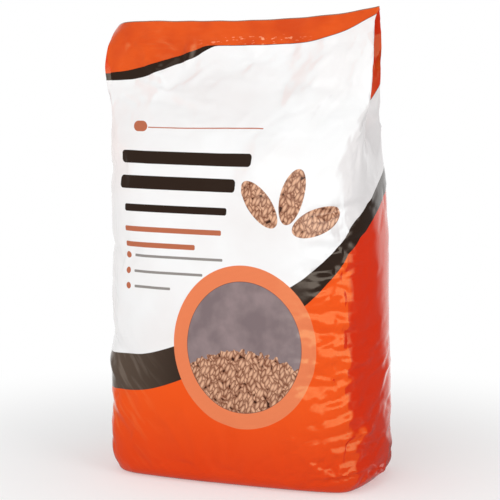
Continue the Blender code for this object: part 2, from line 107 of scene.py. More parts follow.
# folds: from, to, half width, height of the fold; a point is (round, height), where round is
# 0 down the front's middle, 1 at its right corner and -1 at its left one
broadFolds = (
    ((0.72, 0.99), (0.15, 0.65), 0.026, 0.0085),
    ((-0.74, 0.92), (-0.1, 0.85), 0.01, 0.003),
    ((-0.59, 0.87), (0.05, 0.82), 0.01, -0.003),
    ((-0.79, 0.82), (-0.3, 0.8), 0.011, 0.0022),
    ((0.3, 0.92), (0.84, 0.88), 0.012, -0.0025),
    # in the top strip
    ((-0.34, 1.06), (-0.37, 0.94), 0.006, 0.0042),
    ((-0.88, 1.03), (-0.68, 0.97), 0.006, -0.003),
    ((-0.78, 1.0), (-0.45, 0.91), 0.017, 0.006),
    ((-0.58, 1.04), (-0.28, 0.93), 0.015, -0.005),
    ((-0.06, 1.05), (0.16, 0.98), 0.012, 0.0034),
    ((0.28, 1.06), (0.42, 0.98), 0.01, -0.0034),
    ((0.58, 1.06), (0.68, 0.98), 0.01, 0.0034),
    # down the right corner
    ((0.64, 0.61), (1.16, 0.64), 0.0075, -0.0018),
    ((0.74, 0.55), (1.14, 0.58), 0.008, 0.0014),
    ((0.62, 0.49), (1.14, 0.48), 0.008, -0.0018),
    ((0.72, 0.43), (1.14, 0.42), 0.0075, 0.0018),
    ((0.59, 0.37), (1.16, 0.35), 0.008, -0.0024),
    ((0.69, 0.31), (1.16, 0.29), 0.0075, 0.0024),
    ((0.57, 0.25), (1.16, 0.23), 0.009, -0.0026),
    ((0.67, 0.18), (1.16, 0.17), 0.008, 0.0013),
    ((0.5, 0.13), (0.99, 0.14), 0.0075, -0.0014),
    # at the foot, right and left
    ((1.1, 0.066), (1.8, 0.062), 0.02, 0.004),
    ((1.1, 0.026), (1.8, 0.024), 0.012, 0.0045),
    ((-1.4, 0.018), (-0.8, 0.012), 0.014, -0.005),
    ((0.72, 0.0), (1.66, 0.0), 0.022, -0.0045),
    # round the left corner
    ((-1.16, 0.34), (-0.59, 0.25), 0.012, -0.0028),
    ((-1.19, 0.28), (-0.64, 0.19), 0.012, 0.0025),
    ((-1.16, 0.54), (-0.82, 0.49), 0.012, -0.0025),
    ((-1.16, 0.18), (-0.74, 0.1), 0.012, -0.0028),
    ((-1.19, 0.69), (-0.79, 0.71), 0.013, -0.003),
    # on the back
    ((1.63, 0.54), (2.5, 0.58), 0.014, -0.003),
    ((-2.5, 0.41), (-1.73, 0.38), 0.014, -0.003),
    ((1.78, 0.23), (2.48, 0.19), 0.014, 0.0028),
    ((-2.23, 0.7), (-1.63, 0.74), 0.013, 0.0028),
)
# crisp folds with flat sides: from, to, width of the upper and of the lower side, height
crispFolds = (
    # slanted ones above the right foot
    ((0.68, 0.143), (1.18, 0.184), 0.0085, 0.013, 0.003),
    ((0.76, 0.118), (1.18, 0.14), 0.0055, 0.009, 0.0019),
    ((0.72, 0.088), (1.16, 0.114), 0.0075, 0.012, 0.0026),
    ((0.78, 0.194), (1.09, 0.214), 0.0065, 0.011, 0.0022),
    ((0.76, 0.233), (1.07, 0.252), 0.0065, 0.011, 0.0022),
    ((0.84, 0.262), (1.02, 0.27), 0.005, 0.009, 0.0015),
    ((1.04, 0.206), (1.22, 0.217), 0.006, 0.003, 0.0014),
    ((1.06, 0.16), (1.22, 0.166), 0.006, 0.003, 0.0014),
    ((1.09, 0.108), (1.3, 0.113), 0.007, 0.003, 0.0018),
    # the tuck over the foot's corner and the crumple round it
    ((0.68, 0.038), (1.16, 0.057), 0.015, 0.0022, 0.0045),
    ((1.135, 0.057), (1.32, 0.02), 0.015, 0.0022, 0.0045),
    ((0.8, 0.063), (1.16, 0.075), 0.004, 0.006, 0.0014),
    ((0.72, 0.02), (1.12, 0.043), 0.004, 0.008, 0.0016),
    ((1.15, 0.05), (1.1, 0.008), 0.004, 0.004, 0.0018),
    # soft slants at the left
    ((-0.93, 0.262), (-0.72, 0.205), 0.01, 0.014, 0.0016),
    ((-0.79, 0.268), (-0.64, 0.212), 0.01, 0.014, 0.0016),
    ((-0.71, 0.268), (-0.51, 0.212), 0.01, 0.014, 0.0014),
    ((-0.97, 0.165), (-0.79, 0.137), 0.01, 0.014, 0.0014),
    ((-0.9, 0.187), (-0.75, 0.153), 0.01, 0.014, 0.0014),
)
# fine creases scattered over patches of film: round from-to, height from-to, how many,
# length, lean in degrees, spread of the lean, half width, depth; lengths in metres
creasePatches = (
    # jagged leaves down the right corner, level high up and leaning lower down
    (0.74, 1.02, 0.2, 0.64, 28, 0.046, 4.0, 8.0, 0.007, 0.0026),
    (0.7, 1.08, 0.24, 0.6, 50, 0.044, 5.0, 13.0, 0.0034, 0.0012),
    (0.62, 1.12, 0.08, 0.34, 36, 0.05, 12.0, 10.0, 0.0036, 0.0008),
    # side panel
    (1.05, 1.5, 0.06, 0.6, 30, 0.04, 20.0, 22.0, 0.0036, 0.0007),
    (1.06, 1.3, 0.08, 0.34, 16, 0.046, 34.0, 12.0, 0.004, 0.0012),
    # crumple at the right foot
    (0.5, 1.2, 0.01, 0.13, 36, 0.034, 16.0, 35.0, 0.0026, 0.0013),
    # left edge, soft slants
    (-1.2, -0.62, 0.05, 0.45, 20, 0.06, -32.0, 10.0, 0.0045, 0.0009),
    # below the top strip
    (-0.85, 0.8, 0.78, 0.99, 34, 0.05, -6.0, 16.0, 0.0034, 0.0012),
    (0.1, 0.8, 0.72, 0.98, 22, 0.055, 54.0, 12.0, 0.0034, 0.0015),
    # both gussets
    (1.0, 1.56, 0.62, 0.98, 26, 0.03, 55.0, 30.0, 0.0026, 0.0009),
    (-1.56, -1.0, 0.62, 0.98, 26, 0.03, -55.0, 30.0, 0.0026, 0.0009),
    # left side panel and the back
    (-1.55, -1.05, 0.06, 0.6, 34, 0.04, -15.0, 25.0, 0.0034, 0.001),
    (1.58, 1.95, 0.06, 0.66, 34, 0.05, -8.0, 14.0, 0.0032, 0.0012),
    (-1.95, -1.58, 0.06, 0.66, 34, 0.05, 8.0, 14.0, 0.0032, 0.0012),
    (1.6, 2.5, 0.74, 0.98, 24, 0.05, 10.0, 20.0, 0.0036, 0.0009),
    (-2.5, -1.6, 0.74, 0.98, 24, 0.05, -10.0, 20.0, 0.0036, 0.0009),
    # a few faint ones across the front's middle
    (-0.6, 0.6, 0.04, 0.2, 16, 0.045, 6.0, 14.0, 0.0036, 0.0005),
)

sealLine = bagForm["height"] - bagForm["sealHeight"]
halfFlat = bagForm["flatWidth"] / 2
girth = 2 * bagForm["flatWidth"] + 4 * bagForm["gussetDepth"]


def smoothStep(t):
    t = np.clip(t, 0.0, 1.0)
    return t * t * (3 - 2 * t)


def rise(value, start, span):
    # 0 up to start and 1 past the span after it
    return smoothStep((value - start) / span)


def fall(value, end, span):
    # 1 up to the span before end, and 0 past end
    return smoothStep((end - value) / span)


def curveThrough(points, x):
    # a smooth curve through a few points that never overshoots them
    xs, ys = np.array(points, float).T
    step = np.diff(xs)
    slope = np.diff(ys) / step
    before, after = slope[:-1], slope[1:]
    turning = before * after <= 0
    total = np.where(turning, 1.0, before + after)
    inner = np.where(turning, 0.0, 2 * before * after / total)
    tangent = np.concatenate([slope[:1], inner, slope[-1:]])
    i = np.clip(np.searchsorted(xs, x) - 1, 0, len(step) - 1)
    t = (np.clip(x, xs[0], xs[-1]) - xs[i]) / step[i]
    start = ys[i] * (1 + 2 * t) * (1 - t) ** 2 + tangent[i] * step[i] * t * (1 - t) ** 2
    end = ys[i + 1] * (3 - 2 * t) * t ** 2 - tangent[i + 1] * step[i] * (1 - t) * t ** 2
    return start + end


def softenOutline(points, reach):
    # each point moves to the mean of the film within reach of it
    for _ in range(2):
        closed = np.vstack([points, points[:1]])
        lengths = np.linalg.norm(np.diff(closed, axis=0), axis=1)
        along = np.concatenate([[0.0], np.cumsum(lengths)])
        total = along[-1]
        places = np.concatenate([along[:-1] - total, along[:-1], along[:-1] + total, [2 * total]])
        outline = np.vstack([points, points, points, points[:1]])
        pieces = (outline[1:] + outline[:-1]) / 2 * np.diff(places)[:, None]
        area = np.vstack([[0.0, 0.0], np.cumsum(pieces, axis=0)])
        ahead = [np.interp(along[:-1] + reach / 2, places, area[:, k]) for k in (0, 1)]
        behind = [np.interp(along[:-1] - reach / 2, places, area[:, k]) for k in (0, 1)]
        points = (np.array(ahead) - np.array(behind)).T / reach
    return points


def panelShares(cells):
    even = np.arange(cells["round"][0]) / cells["round"][0]
    return even - cornerCrowding * np.sin(2 * math.pi * even) / (2 * math.pi)


def filmRound(cells):
    # metres round the flat tube from the middle of the front, for each column
    panel = panelShares(cells) * bagForm["flatWidth"]
    count, fold = cells["round"][1], bagForm["gussetDepth"]
    gusset = np.arange(count) / count * fold
    width = bagForm["flatWidth"]
    starts = np.cumsum([-halfFlat, width, fold, fold, width, fold])
    runs = (panel, gusset, gusset) * 2
    film = np.concatenate([start + run for start, run in zip(starts, runs)])
    return (film + girth / 2) % girth - girth / 2


def sectionAt(height, cells):
    width, left, middle, right, leftSide, rightSide, softness = [
        float(curveThrough([(row[0], row[k]) for row in sections], height)) for k in range(1, 8)]
    form = bagForm
    half = (form["bodyWidth"] + (form["flatWidth"] - form["bodyWidth"]) * width) / 2
    centre = -form["flatShift"] * width
    ply, deep = form["sealThickness"] / 2, form["bodyDepth"] / 2
    across = panelShares(cells)
    share = np.arange(cells["round"][1])[:, None] / cells["round"][1]

    def panelDepth(across, belly):
        swell = 1 - np.abs(2 * across - 1) ** form["bellyCurve"]
        ends = left * (1 - across) + right * across
        return ply + deep * (ends + (middle - ends) * swell) + belly * swell * middle

    def sideRuns(x, depth, fold, outSign):
        out = outSign * fold * (form["sideBelly"] if fold > 0 else form["gussetDepth"])
        corners = np.array([(x, -depth), (x + out, 0.0), (x, depth)])
        if outSign < 0:
            corners = corners[::-1]
        return [corners[k] + (corners[k + 1] - corners[k]) * share for k in (0, 1)]

    x = centre + half * (2 * across - 1)
    front = np.column_stack([x, -panelDepth(across, form["frontBelly"])])
    rear = np.column_stack([2 * centre - x, panelDepth(1 - across, form["backBelly"])])
    rightRuns = sideRuns(centre + half, ply + deep * right, rightSide, 1)
    leftRuns = sideRuns(centre - half, ply + deep * left, leftSide, -1)
    reach = form["foldSoftness"] + (form["cornerSoftness"] - form["foldSoftness"]) * softness
    reach = min(reach, ply + deep * left, ply + deep * right)
    return softenOutline(np.vstack([front, *rightRuns, rear, *leftRuns]), reach)


def rowHeights(cells):
    foot = bagForm["baseRounding"] / sealLine
    roundingRows, bodyRows, shoulderRows, sealRows = cells["up"]
    quarter = np.arange(roundingRows) / roundingRows * math.pi / 2
    body = np.linspace(foot, bagForm["shoulder"], bodyRows, endpoint=False)
    shoulder = np.linspace(bagForm["shoulder"], 1.0, shoulderRows, endpoint=False)
    seal = np.linspace(1.0, 2.0, sealRows + 1)
    return np.concatenate([foot * (1 - np.cos(quarter)), body, shoulder, seal])


def metresUp(height):
    inSeal = np.maximum(height - 1.0, 0.0)
    return sealLine * np.minimum(height, 1.0) + bagForm["sealHeight"] * inSeal


def onFilm(place):
    # a (round, height) point in metres
    return place[0] * halfFlat, place[1] * sealLine


def lens(share):
    return np.sqrt(4 * share * (1 - share))


foldReach = 5


def foldPush(film, up, start, end, halfWidth, depth, crisp):
    # a lens-shaped fold between two places on the film; crisp ones have a sharp ridge
    (ax, az), (bx, bz) = start, end
    length = (bx - ax) ** 2 + (bz - az) ** 2
    margin = foldReach * halfWidth
    near = ((min(ax, bx) - margin < film) & (film < max(ax, bx) + margin)
            & (up > min(az, bz) - margin) & (up < max(az, bz) + margin))
    push = np.zeros_like(film)
    f, u = film[near], up[near]
    share = np.clip(((f - ax) * (bx - ax) + (u - az) * (bz - az)) / length, 0.0, 1.0)
    away = np.hypot(f - ax - share * (bx - ax), u - az - share * (bz - az)) / halfWidth
    ridge = np.exp(-away ** 2) if not crisp else np.exp(1 - np.sqrt(1 + 2.5 * away ** 2))
    push[near] = depth * lens(share) * ridge
    return push


def terracePush(film, up, start, end, above, below, depth):
    # a ridge between two places with one flat side above it and one below it
    (ax, az), (bx, bz) = start, end
    length = math.hypot(bx - ax, bz - az)
    side = ((bx - ax) * (up - az) - (bz - az) * (film - ax)) / length * math.copysign(1.0, bx - ax)
    share = np.clip(((film - ax) * (bx - ax) + (up - az) * (bz - az)) / length ** 2, 0.0, 1.0)
    slope = np.clip(1 - np.abs(side) / np.where(side > 0, above, below), 0.0, 1.0)
    return depth * lens(share) * slope


# how far each scattered crease strays from its patch's measures
creaseStray = {"seed": 11, "length": (0.5, 1.3), "halfWidth": (0.7, 1.5), "depth": (0.5, 1.5)}


def allFolds(film, up, fine):
    push = np.zeros_like(film)
    for start, end, halfWidth, depth in broadFolds:
        push += foldPush(film, up, onFilm(start), onFilm(end), halfWidth, depth, False)
    if not fine:
        return push
    for start, end, above, below, depth in crispFolds:
        push += terracePush(film, up, onFilm(start), onFilm(end), above, below, depth)
    chance = random.Random(creaseStray["seed"])
    for r0, r1, h0, h1, count, length, lean, spread, halfWidth, depth in creasePatches:
        for number in range(count):
            middle = chance.uniform(r0, r1) * halfFlat
            height = (h0 + (h1 - h0) * (number + chance.random()) / count) * sealLine
            turn = math.radians(lean + chance.gauss(0, spread))
            reach = length * chance.uniform(*creaseStray["length"]) / 2
            dx, dz = reach * math.cos(turn), reach * math.sin(turn)
            breadth = halfWidth * chance.uniform(*creaseStray["halfWidth"])
            size = depth * chance.uniform(*creaseStray["depth"]) * chance.choice((1, -1, -1))
            push += foldPush(film, up, (middle - dx, height - dz), (middle + dx, height + dz),
                             breadth, size, True)
    return push


# the free top edge: long waves to and fro, small bumps up and down, and crinkles pressed by
# the sealing bar, which are (along, up, size)
edgeWaves = {"free": (0.93, 1.07), "length": 0.070, "size": 0.0060, "bumpLength": 0.040,
             "bump": 0.0016, "crinkle": (0.014, 0.0040, 0.0010), "crinkleSoon": 4}


def shapeTop(points, height):
    # the left of the top edge is lower, and the top left corner curls back past a slant
    form = bagForm
    cornerX = -form["flatShift"] - halfFlat
    across = np.clip((points[:, 0] - cornerX) / form["flatWidth"], 0.0, 1.0)
    share = smoothStep((height - form["shoulder"]) / (1 - form["shoulder"]))
    points[:, 2] -= form["topDrop"] * share * (1 - across ** form["topDropCurve"])
    slant = math.hypot(form["curlWidth"], form["curlHeight"])
    outX, outZ = -form["curlHeight"] / slant, form["curlWidth"] / slant
    footZ = form["height"] - form["topDrop"] - form["curlHeight"]
    past = np.maximum((points[:, 0] - cornerX) * outX + (points[:, 2] - footZ) * outZ, 0.0)
    turn = past / form["curlRadius"]
    pulled = past - form["curlRadius"] * np.sin(turn)
    points[:, 0] -= outX * pulled
    points[:, 2] -= outZ * pulled
    points[:, 1] += form["curlRadius"] * (1 - np.cos(turn))
    free = float(rise(height, *edgeWaves["free"]))
    pressed = min(edgeWaves["crinkleSoon"] * free, 1.0)
    crinkleAlong, crinkleUp, crinkleSize = edgeWaves["crinkle"]
    if free > 0:
        for point in points:
            x, z = point[0], point[2]
            wave = noise.noise(Vector((x / edgeWaves["length"], 2.0, 0.0)))
            bump = noise.noise(Vector((x / edgeWaves["bumpLength"], 9.0, 0.0)))
            crinkle = noise.noise(Vector((x / crinkleAlong, z / crinkleUp, 5.0)))
            point[1] += free * edgeWaves["size"] * wave + pressed * crinkleSize * crinkle
            point[2] += free * edgeWaves["bump"] * bump
    return points


# slack in the flat film, as long waves and short ripples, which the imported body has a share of;
# pairs are a start and a span of height
slack = {"starts": (0.70, 0.2), "fades": (0.97, 0.1), "fade": 0.75, "length": 0.085, "size": 0.0032,
         "ripple": 0.026, "rippleSize": 0.0009, "bodyShare": 0.20}
# front and back have waves of their own
backWaves = {"past": 0.06, "from": 2.0, "apart": 0.3}
rippleShift = Vector((7.0, 3.0, 1.0))


def filmWaves(depths, push, film, up, height):
    fade = 1 - slack["fade"] * float(rise(height, *slack["fades"]))
    loose = float(rise(height, *slack["starts"])) * fade
    for i, depth in enumerate(depths):
        far = abs(film[i]) >= halfFlat + backWaves["past"]
        along = backWaves["from"] - abs(film[i]) if far else film[i]
        spot = Vector((along, up, backWaves["apart"] * np.sign(depth)))
        long = noise.noise(spot / slack["length"])
        short = noise.noise(spot / slack["ripple"] + rippleShift)
        rippled = slack["rippleSize"] * short * (loose + slack["bodyShare"])
        push[i] += slack["size"] * long * loose + rippled
    return push


def loftFilm(cells, fine):
    # the film as rows of points, with or without the fine creases and waves
    filmAt, heights = filmRound(cells), rowHeights(cells)
    ups = metresUp(heights)
    pushGrid = allFolds(*np.meshgrid(filmAt, ups), fine)
    rowsOfPoints = []
    for height, up, push in zip(heights, ups, pushGrid):
        outline = sectionAt(height, cells)
        along = np.roll(outline, -1, axis=0) - np.roll(outline, 1, axis=0)
        along /= np.linalg.norm(along, axis=1, keepdims=True)
        out = np.column_stack([along[:, 1], -along[:, 0]])
        below = max(1 - up / bagForm["baseRounding"], 0.0)
        tucked = bagForm["baseRounding"] * (1 - math.sqrt(1 - below ** 2))
        sealFrom, sealSpan, sealLoss = bagForm["sealFade"]
        sealFade = 1 - sealLoss * float(rise(height, sealFrom, sealSpan))
        foot = float(smoothStep(up / bagForm["footFade"]))
        push = push * sealFade * (bagForm["footShare"] + (1 - bagForm["footShare"]) * foot)
        if fine:
            push = filmWaves(outline[:, 1], push, filmAt, up, height)
        outline = outline + out * (push - tucked)[:, None]
        rowPoints = np.column_stack([outline, np.full(len(outline), up)])
        rowsOfPoints.append(shapeTop(rowPoints, height))
    return np.array(rowsOfPoints), filmAt, ups


# the cloth: the film has a little more length than the shape it wraps, most of it down the
# right corner, and pellets press it out from inside; only its wrinkles are kept, not its swell;
# loose, left and gusset pairs are a start and a span
cloth = {
    "frames": 16, "quality": 6, "mass": 0.15, "pressure": 0.6,
    "excess": -0.012, "cornerExcess": -0.030,
    "stretch": 30.0, "shear": 10.0, "bending": 0.003, "damping": 5.0,
    "pinnedFoot": (0.010, 0.030), "pinnedTop": (0.575, 0.615),
    "looseRound": ((0.50, 0.25), (1.28, 0.15)), "looseUp": ((0.03, 0.04), (0.43, 0.06)),
    "swellRounds": 90, "cap": 0.0045,
    "leftCalm": 0.45, "leftFrom": (0.55, 0.3), "gussetFrom": (0.62, 0.12), "gussetEdge": 0.012,
}


def resample(field, places, wraps):
    # cubic steps along the first axis, to places counted in its cells
    base = np.floor(places).astype(int)
    t = (places - base)[:, None, None]
    count = len(field)
    taps = [(base + k) % count if wraps else np.clip(base + k, 0, count - 1) for k in (-1, 0, 1, 2)]
    a, b, c, d = (field[tap] for tap in taps)
    return b + 0.5 * t * (c - a + t * (2 * a - 5 * b + 4 * c - d + t * (3 * (b - c) + d - a)))


def runPlaces(shownRuns, clothRuns):
    # where each shown column or row lies, counted in the cloth's columns or rows
    starts = np.cumsum([0, *clothRuns[:-1]])
    return np.concatenate([start + np.arange(shown) / shown * coarse
                           for start, shown, coarse in zip(starts, shownRuns, clothRuns)])


def wallFaces(rows, columns):
    # the film's four-sided faces, row by row from the floor
    return [(row * columns + i, row * columns + (i + 1) % columns,
             (row + 1) * columns + (i + 1) % columns, (row + 1) * columns + i)
            for row in range(rows - 1) for i in range(columns)]


def settleFilm():
    # run the cloth on a coarse copy of the film and return how far its wrinkles move each point
    start, filmAt, ups = loftFilm(clothCells, False)
    rows, columns = start.shape[:2]
    trial = bpy.data.meshes.new("clothTrial")
    corners = [tuple(point) for point in start.reshape(-1, 3)]
    trial.from_pydata(corners, [], wallFaces(rows, columns))
    piece = bpy.data.objects.new("clothTrial", trial)
    scene.collection.objects.link(piece)
    held = piece.vertex_groups.new(name="held")
    loose = piece.vertex_groups.new(name="loose")
    foot, top = cloth["pinnedFoot"], cloth["pinnedTop"]
    (cornerStart, cornerEnd), (looseStart, looseEnd) = cloth["looseRound"], cloth["looseUp"]
    corner = rise(filmAt / halfFlat, *cornerStart) * fall(filmAt / halfFlat, *cornerEnd)
    for row, up in enumerate(ups):
        grip = float(max(1 - smoothStep((up - foot[0]) / (foot[1] - foot[0])),
                         smoothStep((up - top[0]) / (top[1] - top[0]))))
        held.add(list(range(row * columns, (row + 1) * columns)), grip, "REPLACE")
        level = float(rise(up, *looseStart) * fall(up, *looseEnd))
        for i in np.nonzero(corner * level > 0)[0]:
            loose.add([row * columns + int(i)], float(corner[i] * level), "REPLACE")
    drape = piece.modifiers.new("cloth", "CLOTH")
    settings = drape.settings
    settings.quality = cloth["quality"]
    settings.mass = cloth["mass"]
    settings.tension_stiffness = settings.compression_stiffness = cloth["stretch"]
    settings.shear_stiffness = cloth["shear"]
    settings.bending_stiffness = cloth["bending"]
    settings.tension_damping = settings.compression_damping = cloth["damping"]
    settings.shear_damping = cloth["damping"]
    settings.vertex_group_mass = "held"
    settings.vertex_group_shrink = "loose"
    settings.shrink_min, settings.shrink_max = cloth["excess"], cloth["cornerExcess"]
    settings.use_pressure = True
    settings.uniform_pressure_force = cloth["pressure"]
    settings.effector_weights.gravity = 0.0
    drape.collision_settings.use_collision = False
    drape.point_cache.frame_end = cloth["frames"] + 1
    for number in range(1, cloth["frames"] + 1):
        scene.frame_set(number)
    settled = piece.evaluated_get(bpy.context.evaluated_depsgraph_get()).data
    end = np.zeros(rows * columns * 3, np.float32)
    settled.vertices.foreach_get("co", end)
    moved = end.reshape(rows, columns, 3) - start
    bpy.data.objects.remove(piece)
    bpy.data.meshes.remove(trial)
    scene.frame_set(1)
    swell = moved
    for _ in range(cloth["swellRounds"]):
        padded = np.concatenate([swell[:1], swell, swell[-1:]])
        beside = np.roll(swell, 1, axis=1)
        swell = (padded[:-2] + padded[2:] + beside + np.roll(swell, -1, axis=1)) / 4
    # calmer at the left, and still where the gussets are folded in
    edge, far = cloth["gussetEdge"], np.abs(filmAt)
    inGusset = rise(far, halfFlat, edge) * fall(far, girth / 2 - halfFlat, edge)
    still = rise(ups / sealLine, *cloth["gussetFrom"])[:, None] * inGusset[None, :]
    calm = 1 - cloth["leftCalm"] * rise(-filmAt / halfFlat, *cloth["leftFrom"])
    wrinkles = (moved - swell) * (calm[None, :] * (1 - still))[:, :, None]
    size = np.linalg.norm(wrinkles, axis=2, keepdims=True) + 1e-9
    wrinkles *= cloth["cap"] * np.tanh(size / cloth["cap"]) / size
    print("cloth settled: wrinkles up to", round(float(size.max()) * 1000, 1), "mm uncapped")
    (panel, fold), (clothPanel, clothFold) = shownCells["round"], clothCells["round"]
    upPlaces = np.append(runPlaces(shownCells["up"], clothCells["up"]), rows - 1.0)
    roundPlaces = runPlaces((panel, fold, fold) * 2, (clothPanel, clothFold, clothFold) * 2)
    fine = resample(wrinkles, upPlaces, False).transpose(1, 0, 2)
    return resample(fine, roundPlaces, True).transpose(1, 0, 2)


grid, filmAt, ups = loftFilm(shownCells, True)
print("film lofted:", grid.shape)
grid = grid + settleFilm()

# places in the print: across -1 to 1 on either panel, up in metres, and turn 0 on the front,
# 1 in a gusset's fold and 2 on the back
printEdges = {
    "sweepTop": ((-1.0, 0.28), (-0.68, 0.287), (-0.46, 0.303), (0.61, 0.472),
                 (0.86, 0.539), (1.0, 0.582), (1.24, 0.66), (1.57, 0.715)),
    "sweepFoot": ((-1.0, 0.198), (-0.67, 0.206), (-0.39, 0.23), (0.6, 0.408),
                  (0.86, 0.483), (1.0, 0.528), (1.24, 0.612), (1.57, 0.672)),
    "arcFoot": ((-1.0, 0.085), (-0.81, 0.083), (-0.34, 0.052), (-0.14, 0.034),
                (0.45, 0.034), (0.74, 0.026), (1.0, 0.01)),
    "arcTop": ((-1.0, 0.075), (-0.81, 0.07), (-0.35, 0.043), (-0.2, 0.034),
               (0.45, 0.034), (0.74, 0.026), (1.0, 0.01)),
    # the strip's dip in the right gusset, by turn
    "gussetDip": ((0.0, 0.0), (0.25, 0.0), (0.6, 0.1), (1.0, 0.125),
                  (1.6, 0.118), (2.0, 0.088)),
    "overlap": 0.0007,
}
distance = np.abs(filmAt)
nearest = np.minimum(np.minimum(distance, halfFlat), girth / 2 - distance)
across = np.copysign(nearest / halfFlat, filmAt)
turn = np.clip((distance - halfFlat) / bagForm["gussetDepth"], 0.0, 2.0)


def printFields(across, turn, up):
    # how far each place is past the printed edges, in metres
    sweepRound = (across + 1) * (1 + turn * bagForm["gussetDepth"] / bagForm["flatWidth"]) - 1
    dip = curveThrough(printEdges["gussetDip"], turn) * smoothStep(across)
    drop = bagForm["height"] - dip
    return {
        "across": across,
        "turn": turn,
        "up": up,
        "sweepTop": up - sealLine * curveThrough(printEdges["sweepTop"], sweepRound),
        "sweepFoot": up - sealLine * curveThrough(printEdges["sweepFoot"], sweepRound),
        "arcFoot": up - drop + curveThrough(printEdges["arcFoot"], across),
        "arcTop": up - drop + curveThrough(printEdges["arcTop"], across) - printEdges["overlap"],
    }


# the skin: wall, top edge and underside
columns = len(filmAt)
rows = len(ups)
wallFields = printFields(np.tile(across, rows), np.tile(turn, rows), np.repeat(ups, columns))
points = [tuple(point) for point in grid.reshape(-1, 3)]
faces = wallFaces(rows, columns)
extra = {name: [] for name in wallFields}


def closeRow(start, lines, facingUp):
    # close a row from front to back; lines run across at these shares, raised this much
    left = columns - shownCells["round"][1]
    chains = []
    for k in range(columns // 2 + 1):
        front, rear = start + (left + k) % columns, start + (left - k) % columns
        chain = [front]
        for share, rise in lines:
            if front == rear:
                chain.append(front)
                continue
            a, b = points[front], points[rear]
            spot = [a[n] + (b[n] - a[n]) * share for n in range(3)]
            spot[2] += rise
            chain.append(len(points))
            points.append(tuple(spot))
            for name, values in wallFields.items():
                extra[name].append(values[front])
        chains.append(chain + [rear])
    for one, two in zip(chains, chains[1:]):
        for k in range(len(one) - 1):
            corners = list(dict.fromkeys((one[k], two[k], two[k + 1], one[k + 1])))
            if len(corners) > 2:
                faces.append(corners if facingUp else corners[::-1])


# the underside, flat but for the edge of the bottom seal
seam = 0.5 + bagForm["baseSealWidth"] / (bagForm["bodyDepth"] - 2 * bagForm["baseRounding"])
line = bagForm["baseLineWidth"] / (2 * bagForm["bodyDepth"])
baseLines = [(share, 0.0) for share in (0.1, 0.2, 0.3, 0.4, 0.5, 0.6, 0.7, seam - line)]
baseLines += [(seam - 0.4 * line, 0.7 * bagForm["baseSealEdge"]), (seam, bagForm["baseSealEdge"])]
baseLines += [(seam + line, 0.0), (0.92, 0.0)]
closeRow((rows - 1) * columns, (), True)
closeRow(0, baseLines, False)

mesh = bpy.data.meshes.new("litterBagFilm")
mesh.from_pydata(points, [], faces)
for name, values in wallFields.items():
    layer = mesh.attributes.new(name, "FLOAT", "POINT")
    layer.data.foreach_set("value", np.concatenate([values, extra[name]]).astype(np.float32))
coords = np.array(points)
middle = (coords.min(axis=0) + coords.max(axis=0)) / 2
mesh.transform(Matrix.Translation((-middle[0], -middle[1], 0.0)))
mesh.validate()
bag = bpy.data.objects.new("litterBagFilm", mesh)
scene.collection.objects.link(bag)
print("skin made:", len(mesh.vertices), "points,", len(mesh.polygons), "faces")
bpy.ops.object.select_all(action="DESELECT")
bag.select_set(True)
bpy.context.view_layer.objects.active = bag
bpy.ops.object.shade_smooth_by_angle(angle=math.radians(60))


# materials
def toLinear(hexColour):
    # sRGB hex to linear RGBA
    parts = [int(hexColour[k:k + 2], 16) / 255 for k in (1, 3, 5)]
    linear = [c / 12.92 if c <= 0.04045 else ((c + 0.055) / 1.055) ** 2.4 for c in parts]
    return (*linear, 1.0)


def addNode(tree, kind, settings, inputs, output=0):
    # one node with its settings, its links and its fixed values
    made = tree.nodes.new("ShaderNode" + kind)
    for name, value in settings.items():
        setattr(made, name, value)
    for key, value in inputs.items():
        if isinstance(value, bpy.types.NodeSocket):
            tree.links.new(value, made.inputs[key])
        else:
            made.inputs[key].default_value = value
    return made.outputs[output]


def calc(tree, operation, *values):
    return addNode(tree, "Math", {"operation": operation}, dict(enumerate(values)))


def calcVector(tree, operation, *values):
    output = 1 if operation == "LENGTH" else 0
    return addNode(tree, "VectorMath", {"operation": operation}, dict(enumerate(values)), output)


def remap(tree, value, start, end, low=0.0, high=1.0, smooth=True):
    # from low to high as a value goes from start to end
    settings = {"interpolation_type": "SMOOTHSTEP"} if smooth else {}
    inputs = {0: value, 1: start, 2: end, 3: low, 4: high}
    return addNode(tree, "MapRange", settings, inputs)


inkEdge = 0.0003


def edgeMask(tree, value, at, soft=inkEdge):
    # 1 below the edge and 0 above it
    return remap(tree, value, at - soft, at + soft, 1.0, 0.0)


def mixInk(tree, mask, below, above):
    return addNode(tree, "Mix", {"data_type": "RGBA"}, {0: mask, 6: below, 7: above}, 2)


def cloudy(tree, place, length, detail, flat=False):
    settings = {"noise_dimensions": "2D"} if flat else {}
    inputs = {"Vector": place, "Scale": 1 / length, "Detail": detail}
    return addNode(tree, "TexNoise", settings, inputs)


def splitUp(tree, socket, kind="XYZ"):
    # the three parts of a place, or of a colour
    return addNode(tree, "Separate" + kind, {}, {0: socket}).node.outputs


def cellsOver(tree, place, scale, randomness):
    inputs = {"Vector": place, "Scale": scale, "Randomness": randomness}
    return addNode(tree, "TexVoronoi", {"voronoi_dimensions": "2D"}, inputs).node.outputs


